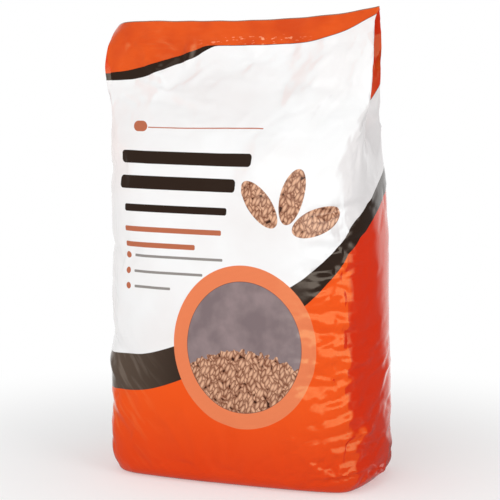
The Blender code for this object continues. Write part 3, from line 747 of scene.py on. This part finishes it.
# print inks, and painted light: grey, pink and part of the deep red as shade, paler tints as
# highlights
inks = {
    "white": "#EAEAEA", "whiteShade": "#E3DFDE", "whiteSideShade": "#DAD7D7",
    "whitePinkShade": "#EADDDA", "orange": "#E8521A", "orangeStreakHighlight": "#E96F38",
    "orangeDeep": "#D22E12", "orangeStrip": "#DA521E", "stripShade": "#C9441C",
    "sealHighlight": "#F4A77C", "brown": "#2A1D16", "brownLeftSheen": "#54463C",
    "brownStreakHighlight": "#73665C", "salmon": "#E47F55", "salmonDots": "#D9734C",
    "ringEdge": "#5B4340", "mauve": "#7B6C6E", "mauveLight": "#907F80",
    "tan": "#B4674A", "grey": "#8D8884", "pelletLight": "#D9A98A",
    "pelletDark": "#7A4A36", "gap": "#3A221A", "cutEdge": "#8A6A58",
}
paint = {name: toLinear(ink) for name, ink in inks.items()}
# uneven ink and painted highlights, as soft spots: size in metres or in streak sizes,
# detail, noise from and to, most
spots = {
    "cloud": (0.11, 3.0, 0.42, 0.72, 0.8),
    "patch": (0.050, 2.0, 0.42, 0.66, 0.8),
    "highlightStreak": (1.0, 2.0, 0.50, 0.70, 0.7),
    "fleck": (0.010, 3.0, 0.61, 0.69, 0.8),
    "blotch": (0.035, 4.0, 0.35, 0.70, 1.0),
}
# painted highlight streaks: slant in radians, length and width
streakShape = {"slant": -0.80, "size": (0.060, 0.0095)}
# the painted sheen on the brown and the painted highlight streaks fade out to the right, from and
# to a share across
sheenFades = {"brown": (-0.95, -0.10), "highlightStreak": (-0.95, -0.40)}
# painted shade: inks that change as the film turns away from the lamps, from and to an azimuth in
# degrees, most
turns = {
    "grey": (26, 46, 1.0),
    "pink": (-6, -22, 0.6),
    "red": (44, 54, 1.0),
    "stripRed": (0, 16, 1.0),
}
backStarts = {"azimuth": 118, "soft": 14}
frontEnds = (0.05, 0.02)
# metres up: the painted pink shade only high up, the foot redder, and the painted red shade at its
# corner some degrees later
heights = {"pink": (0.36, 0.48), "red": (0.0, 0.15), "redMost": 0.65, "late": (0.08, 0.15),
           "lateBy": 9}
# painted highlights as pale flecks along the seal line, by the middle above the seal line and
# across, and the half sizes with their softness
flecks = {"stretch": 3.2, "above": 0.006, "halfHeight": (0.0055, 0.0030), "middle": 0.025,
          "halfWidth": (0.065, 0.030)}
# plain bars: left, right, middle up, height in metres, ink
bars = [
    (-0.170, 0.046, 0.447, 0.0185, "brown"),
    (-0.170, 0.022, 0.411, 0.0185, "brown"),
    (-0.160, 0.010, 0.376, 0.0100, "brown"),
    (-0.160, 0.002, 0.3475, 0.0070, "tan"),
    (-0.160, -0.040, 0.3265, 0.0070, "tan"),
    (-0.128, 0.056, 0.4905, 0.0016, "tan"),
    (-0.1530, -0.1295, 0.4920, 0.0160, "tan"),
]
# three thin lines, each with a round dot
for lineEnd, up in ((0.004, 0.3115), (-0.028, 0.2900), (-0.080, 0.2690)):
    bars.append((-0.142, lineEnd, up, 0.0036, "grey"))
    bars.append((-0.1585, -0.1495, up, 0.0090, "tan"))
# corner radius as a share of the height
barEnds = {"short": 0.025, "shortRadius": 0.5, "longRadius": 0.30}
sprig = {"foot": (0.095, 0.346), "gap": 0.016, "turns": (22.0, 76.0, 130.0),
         "length": 0.076, "breadth": 0.034, "soft": 0.012}
medallion = {
    "centre": (0.036, 0.196), "half": 0.110, "band": 0.022, "edge": 0.0006,
    "screen": 0.0016, "dot": (0.30, 0.12),
    "pileTop": 0.200, "pileCurve": 3.2, "pileBumps": (0.009, 0.016),
}
pellets = {"length": 0.0180, "width": 0.0072, "turns": (24.0, 151.0, 88.0, 55.0, 119.0),
           "loose": 0.7, "shade": (0.06, 0.46), "ownTone": (0.35, 0.15), "edge": (0.43, 0.03)}
# shine of the clear film over each ink: warm over the orange and brown, weak over the white
shine = {
    "onBrown": (1.0, 0.88, 0.74, 1.0), "onOrange": (0.60, 0.90, 0.40, 1.0),
    "onWhite": (0.25, 0.25, 0.25, 1.0), "redOverBlue": (0.40, 0.62), "brightness": (0.45, 0.75),
}
# smooth film, slightly uneven, with pellets pressing through
gloss = {"uneven": 0.03, "levels": (0.3, 0.7), "roughness": (0.08, 0.15), "index": 1.5,
         "level": 0.4, "wave": 0.014, "waveStrength": 0.3, "waveDepth": 0.0008}


def speckle(tree, place, kind, flat=False):
    length, detail, start, end, most = spots[kind]
    return remap(tree, cloudy(tree, place, length, detail, flat), start, end, 0.0, most, False)


def pelletInk(tree, place):
    # printed wood pellets: layers of long rounded cells lying at different angles
    colour = paint["gap"]
    brighter, darker = pellets["ownTone"]
    for degrees in pellets["turns"]:
        turned = addNode(tree, "VectorRotate", {"rotation_type": "Z_AXIS"},
                         {0: place, 1: (0.0, degrees / 100, 0.0), 3: math.radians(degrees)})
        size = (1 / pellets["length"], 1 / pellets["width"], 1.0)
        scaled = calcVector(tree, "MULTIPLY", turned, size)
        cells = cellsOver(tree, scaled, 1.0, pellets["loose"])
        own = splitUp(tree, cells["Color"], "Color")[0]
        shade = remap(tree, cells["Distance"], *pellets["shade"], 1.0, 0.0)
        tone = calc(tree, "MULTIPLY_ADD", own, brighter, shade)
        tone = calc(tree, "SUBTRACT", tone, darker)
        ink = mixInk(tree, tone, paint["pelletDark"], paint["pelletLight"])
        colour = mixInk(tree, edgeMask(tree, cells["Distance"], *pellets["edge"]), colour, ink)
    return colour


# blown low-density polythene, reverse printed, glossy: clear highlights and fine waviness
film = bpy.data.materials.new("glossyPrintedPolytheneFilm")
film.use_nodes = True
tree = film.node_tree
shader = tree.nodes["Principled BSDF"]
read = {name: addNode(tree, "Attribute", {"attribute_name": name}, {}, 2)
        for name in wallFields}
acrossMetres = calc(tree, "MULTIPLY", read["across"], halfFlat)
place = addNode(tree, "CombineXYZ", {}, {0: acrossMetres, 1: read["up"], 2: 0.0})
objectPlace = addNode(tree, "TexCoord", {}, {}, 3)
onFront = edgeMask(tree, read["turn"], *frontEnds)


def frontMask(value, at, soft=inkEdge):
    return calc(tree, "MULTIPLY", edgeMask(tree, value, at, soft), onFront)


# white film, a little greyer and pinker in cloudy patches
colour = mixInk(tree, speckle(tree, objectPlace, "cloud"), paint["white"], paint["whiteShade"])

# the azimuth that the film faces; as painted shade, the white greys and the orange deepens to
# red where the film turns away from the lamps, but not on the back
facing = splitUp(tree, addNode(tree, "NewGeometry", {}, {}, 1))
ahead = calc(tree, "MULTIPLY", facing[1], -1.0)
faces = calc(tree, "ARCTAN2", facing[0], ahead)
notBack = edgeMask(tree, calc(tree, "ABSOLUTE", faces), math.radians(backStarts["azimuth"]),
                   math.radians(backStarts["soft"]))


def turnedPast(heading, kind):
    low, high, most = turns[kind]
    turned = remap(tree, heading, math.radians(low), math.radians(high), 0.0, most)
    return calc(tree, "MULTIPLY", turned, notBack)


# painted shade: the white is painted grey where the film turns to the right
colour = mixInk(tree, turnedPast(faces, "grey"), colour, paint["whiteSideShade"])
# painted shade: high up, the white is painted pinkish grey where the film faces to the left
pinkShade = calc(tree, "MULTIPLY", turnedPast(faces, "pink"),
                  remap(tree, read["up"], *heights["pink"]))
colour = mixInk(tree, pinkShade, colour, paint["whitePinkShade"])

# the dark bands, then the orange fields inside them
# the orange is redder towards the foot, and painted deep red as shade where the film turns away,
# from later angles near the foot
redFoot = remap(tree, read["up"], *heights["red"], heights["redMost"], 0.0)
late = remap(tree, read["up"], *heights["late"], math.radians(heights["lateBy"]), 0.0)
facesLate = calc(tree, "SUBTRACT", faces, late)
deep = calc(tree, "MAXIMUM", redFoot, turnedPast(facesLate, "red"))
# painted shade: the top strip is painted deep red in the gusset, off the front and facing right
gussetStripShade = calc(tree, "SUBTRACT", turnedPast(faces, "stripRed"), onFront)
stripShadeRed = calc(tree, "MAXIMUM", gussetStripShade, turnedPast(faces, "red"))
# painted sheen: the brown is painted paler towards the left
leftSheen = remap(tree, read["across"], *sheenFades["brown"], 1.0, 0.0)
brown = mixInk(tree, leftSheen, paint["brown"], paint["brownLeftSheen"])
# painted highlight streaks on the brown and the orange slant down to the right
slanted = addNode(tree, "Mapping", {"vector_type": "TEXTURE"},
                  {"Vector": place, "Rotation": (0.0, 0.0, streakShape["slant"]),
                   "Scale": (*streakShape["size"], 1.0)})
highlightStreaks = calc(tree, "MULTIPLY", speckle(tree, slanted, "highlightStreak", True),
                 remap(tree, read["across"], *sheenFades["highlightStreak"], 1.0, 0.0))
brown = mixInk(tree, highlightStreaks, brown, paint["brownStreakHighlight"])
orange = mixInk(tree, highlightStreaks, paint["orange"], paint["orangeStreakHighlight"])
strip = mixInk(tree, speckle(tree, objectPlace, "patch"), paint["orangeStrip"], paint["stripShade"])
fields = {
    "sweepTop": brown,
    "arcFoot": paint["brown"],
    "sweepFoot": mixInk(tree, deep, orange, paint["orangeDeep"]),
    "arcTop": mixInk(tree, stripShadeRed, strip, paint["orangeDeep"]),
}
for edge, ink in fields.items():
    mask = edgeMask(tree, read[edge], 0.0)
    if edge.startswith("arc"):
        mask = calc(tree, "SUBTRACT", 1.0, mask)
    colour = mixInk(tree, mask, colour, ink)

# painted highlights: pale flecks on the orange along the seal line
stretched = calcVector(tree, "MULTIPLY", place, (1.0, flecks["stretch"], 1.0))
fromSeal = calc(tree, "SUBTRACT", read["up"], sealLine + flecks["above"])
fromFlecks = calc(tree, "SUBTRACT", acrossMetres, flecks["middle"])
sealHighlights = speckle(tree, stretched, "fleck", True)
for limit in (edgeMask(tree, calc(tree, "ABSOLUTE", fromSeal), *flecks["halfHeight"]),
              calc(tree, "GREATER_THAN", read["arcTop"], 0.0),
              edgeMask(tree, calc(tree, "ABSOLUTE", fromFlecks), *flecks["halfWidth"])):
    sealHighlights = calc(tree, "MULTIPLY", sealHighlights, limit)
colour = mixInk(tree, sealHighlights, colour, paint["sealHighlight"])

# bars and dots
for left, right, middle, height, ink in bars:
    short = right - left < barEnds["short"]
    radius = height * (barEnds["shortRadius"] if short else barEnds["longRadius"])
    centre = ((left + right) / 2, middle, 0.0)
    straight = ((right - left) / 2 - radius, height / 2 - radius, 0.0)
    fromMiddle = calcVector(tree, "ABSOLUTE", calcVector(tree, "SUBTRACT", place, centre))
    past = calcVector(tree, "SUBTRACT", fromMiddle, straight)
    outside = calcVector(tree, "MAXIMUM", past, (0.0, 0.0, 0.0))
    away = calcVector(tree, "LENGTH", outside)
    colour = mixInk(tree, frontMask(away, radius), colour, paint[ink])

# the sprig's leaves, printed as wood pellets
pelletColour = pelletInk(tree, place)
footX, footZ = sprig["foot"]
leafMiddle = (footX + sprig["gap"] + sprig["length"] / 2, footZ, 0.0)
leafSize = (2 / sprig["length"], 2 / sprig["breadth"], 0.0)
for degrees in sprig["turns"]:
    turned = addNode(tree, "VectorRotate", {"rotation_type": "Z_AXIS", "invert": True},
                     {0: place, 1: (footX, footZ, 0.0), 3: math.radians(degrees)})
    fromMiddle = calcVector(tree, "SUBTRACT", turned, leafMiddle)
    away = calcVector(tree, "LENGTH", calcVector(tree, "MULTIPLY", fromMiddle, leafSize))
    colour = mixInk(tree, frontMask(away, 1.0, sprig["soft"]), colour, pelletColour)

# the medallion: a salmon ring with a fine screen of dots, and a pile of pellets against mauve
fromCentre = calcVector(tree, "SUBTRACT", place, (*medallion["centre"], 0.0))
away = calcVector(tree, "LENGTH", fromCentre)
dots = cellsOver(tree, place, 1 / medallion["screen"], 0.0)[0]
ring = mixInk(tree, edgeMask(tree, dots, *medallion["dot"]), paint["salmon"], paint["salmonDots"])
window = medallion["half"] - medallion["band"]
colour = mixInk(tree, frontMask(away, medallion["half"]), colour, ring)
colour = mixInk(tree, frontMask(away, window + medallion["edge"]), colour, paint["ringEdge"])
blotches = speckle(tree, place, "blotch", True)
backing = mixInk(tree, blotches, paint["mauve"], paint["mauveLight"])
parts = splitUp(tree, fromCentre)
bumpLength, bumpHeight = medallion["pileBumps"]
bend = calc(tree, "POWER", parts[0], 2.0)
mound = calc(tree, "MULTIPLY_ADD", bend, medallion["pileCurve"], parts[1])
ragged = cloudy(tree, place, bumpLength, 1.0, True)
pileEdge = calc(tree, "MULTIPLY_ADD", ragged, bumpHeight, mound)
pileTop = medallion["pileTop"] - medallion["centre"][1]
picture = mixInk(tree, edgeMask(tree, pileEdge, pileTop, medallion["edge"]), backing, pelletColour)
colour = mixInk(tree, frontMask(away, window), colour, picture)

# cut edge of the film at the very top
belowRim = edgeMask(tree, read["up"], bagForm["height"] - bagForm["sealThickness"])
colour = mixInk(tree, calc(tree, "SUBTRACT", 1.0, belowRim), colour, paint["cutEdge"])
tree.links.new(colour, shader.inputs["Base Color"])

luminance = addNode(tree, "RGBToBW", {}, {0: colour})
channels = splitUp(tree, colour, "Color")
warmth = calc(tree, "SUBTRACT", channels[0], channels[2])
onColour = remap(tree, warmth, *shine["redOverBlue"], smooth=False)
onWhite = remap(tree, luminance, *shine["brightness"], smooth=False)
shineTint = mixInk(tree, onColour, shine["onBrown"], shine["onOrange"])
shineTint = mixInk(tree, onWhite, shineTint, shine["onWhite"])
tree.links.new(shineTint, shader.inputs["Specular Tint"])

uneven = cloudy(tree, objectPlace, gloss["uneven"], 2.0)
roughness = remap(tree, uneven, *gloss["levels"], *gloss["roughness"], False)
tree.links.new(roughness, shader.inputs["Roughness"])
shader.inputs["IOR"].default_value = gloss["index"]
shader.inputs["Specular IOR Level"].default_value = gloss["level"]
wave = cloudy(tree, objectPlace, gloss["wave"], 2.0)
bump = addNode(tree, "Bump", {}, {
    "Strength": gloss["waveStrength"], "Distance": gloss["waveDepth"], "Height": wave})
tree.links.new(bump, shader.inputs["Normal"])
mesh.materials.append(film)
print("film printed")

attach(bag, "root")
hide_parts("litter_bag")


# the studio: pale floor, white background, soft lamps
studio = {
    "floorSize": 14.0,
    "floor": "#F7F7F7",
    "floorRoughness": 0.9,
    "floorShine": 0.1,
    # the lit floor turns plain white, from and to in metres, with this share near by
    "floorFade": (0.22, 0.80, 0.35),
    "roomLevel": 0.50,
    # what the gloss sees all round, by azimuth in degrees: a wide white panel to the right of
    # the camera, the white backdrop behind the bag and a dim room elsewhere; 1 is the panel
    "panelLevel": 4.0,
    "beyondPanel": 0.065,
    "surroundings": ((-180, 0.27), (-150, 0.27), (-118, 0.22), (-92, 0.10), (-60, 0.06),
                     (-10, 0.045), (14, 1.0), (84, 1.0), (98, 0.04), (138, 0.04), (158, 0.27),
                     (180, 0.27)),
    # the backdrop has no top or foot, past these azimuths in radians
    "backdrop": (1.6, 2.0),
    # the panel's top, as the sine of its height angle, and its foot in metres, with its level
    "panelTop": (0.46, 0.66),
    "panelFoot": (1.2, 4.0, 0.7),
}
plainWhite = (1.0, 1.0, 1.0, 1.0)


def surroundings(tree, place, cap):
    # brightness that the gloss sees towards a place, by its azimuth round the bag; the cap
    # holds the panel down, so that folds tilt it in and out of view, but not the backdrop
    parts = splitUp(tree, place)
    angle = calc(tree, "ARCTAN2", parts[0], calc(tree, "MULTIPLY", parts[1], -1.0))
    share = calc(tree, "MULTIPLY_ADD", angle, 0.5 / math.pi, 0.5)
    level = addNode(tree, "ValToRGB", {}, {0: share})
    stops = level.node.color_ramp.elements
    for number, (degrees, brightness) in enumerate(studio["surroundings"]):
        stop = stops[number] if number < 2 else stops.new(1.0)
        stop.position = degrees / 360 + 0.5
        stop.color = (brightness, brightness, brightness, 1.0)
    behind = remap(tree, calc(tree, "ABSOLUTE", angle), *studio["backdrop"], smooth=False)
    held = calc(tree, "MINIMUM", level, calc(tree, "MAXIMUM", cap, behind))
    return calc(tree, "MULTIPLY", held, studio["panelLevel"])


bpy.ops.mesh.primitive_plane_add(size=studio["floorSize"], location=(0, 0, 0))
floor = bpy.context.active_object
floor.name = "studioFloor"
# mat rolled paper: no highlight, only a soft shadow
paper = bpy.data.materials.new("matWhitePaperFloor")
paper.use_nodes = True
tree = paper.node_tree
shader = tree.nodes["Principled BSDF"]
shader.inputs["Base Color"].default_value = toLinear(studio["floor"])
shader.inputs["Roughness"].default_value = studio["floorRoughness"]
shader.inputs["Specular IOR Level"].default_value = studio["floorShine"]
spot = addNode(tree, "TexCoord", {}, {}, 3)
away = calcVector(tree, "LENGTH", spot)
far = remap(tree, away, *studio["floorFade"])
white = addNode(tree, "Emission", {}, {"Color": plainWhite, "Strength": 1.0})
blend = addNode(tree, "MixShader", {}, {0: far, 1: shader.outputs[0], 2: white})
footFrom, footTo, footLevel = studio["panelFoot"]
nearFar = remap(tree, away, footFrom, footTo, studio["beyondPanel"], footLevel, False)
mirrored = addNode(tree, "Emission", {}, {"Strength": surroundings(tree, spot, nearFar)})
rays = addNode(tree, "LightPath", {}, {}).node.outputs
blend = addNode(tree, "MixShader", {}, {0: rays["Is Glossy Ray"], 1: blend, 2: mirrored})
tree.links.new(blend, tree.nodes["Material Output"].inputs[0])
floor.data.materials.append(paper)

world = bpy.data.worlds.new("whiteStudio")
world.use_nodes = True
scene.world = world
tree = world.node_tree
rays = addNode(tree, "LightPath", {}, {}).node.outputs
seen = calc(tree, "MAXIMUM", rays["Is Camera Ray"], rays["Is Transmission Ray"])
direction = addNode(tree, "TexCoord", {}, {}, 0)
skyward = splitUp(tree, direction)[2]
over = remap(tree, skyward, *studio["panelTop"], 1.0, studio["beyondPanel"])
reflected = addNode(tree, "Mix", {}, {
    0: rays["Is Glossy Ray"], 2: studio["roomLevel"], 3: surroundings(tree, direction, over)})
strength = addNode(tree, "Mix", {}, {0: seen, 2: reflected, 3: 1.0})
background = tree.nodes["Background"]
background.inputs["Color"].default_value = plainWhite
tree.links.new(strength, background.inputs["Strength"])

# name, azimuth, elevation, distance, width, height, watts, seen in the gloss
lamps = (
    ("softRight", 62.0, 20.0, 2.0, 0.9, 1.5, 11.0, False),
    ("softFront", -8.0, 24.0, 2.4, 1.6, 1.2, 17.4, False),
    ("softLeft", -46.0, 16.0, 2.2, 1.0, 1.6, 6.0, False),
    ("softTop", 10.0, 82.0, 2.2, 1.6, 1.6, 5.0, True),
)
aim = Vector((0.0, 0.0, 0.32))
for name, azimuth, elevation, reach, width, height, watts, inGloss in lamps:
    toLamp = around(azimuth, elevation)
    bpy.ops.object.light_add(type="AREA", location=aim + toLamp * reach)
    lamp = bpy.context.active_object
    lamp.name = name
    lamp.rotation_euler = toLamp.to_track_quat("Z", "Y").to_euler()
    lamp.data.shape = "RECTANGLE"
    lamp.data.size = width
    lamp.data.size_y = height
    lamp.data.energy = watts
    lamp.visible_glossy = inGloss
print("studio lit")
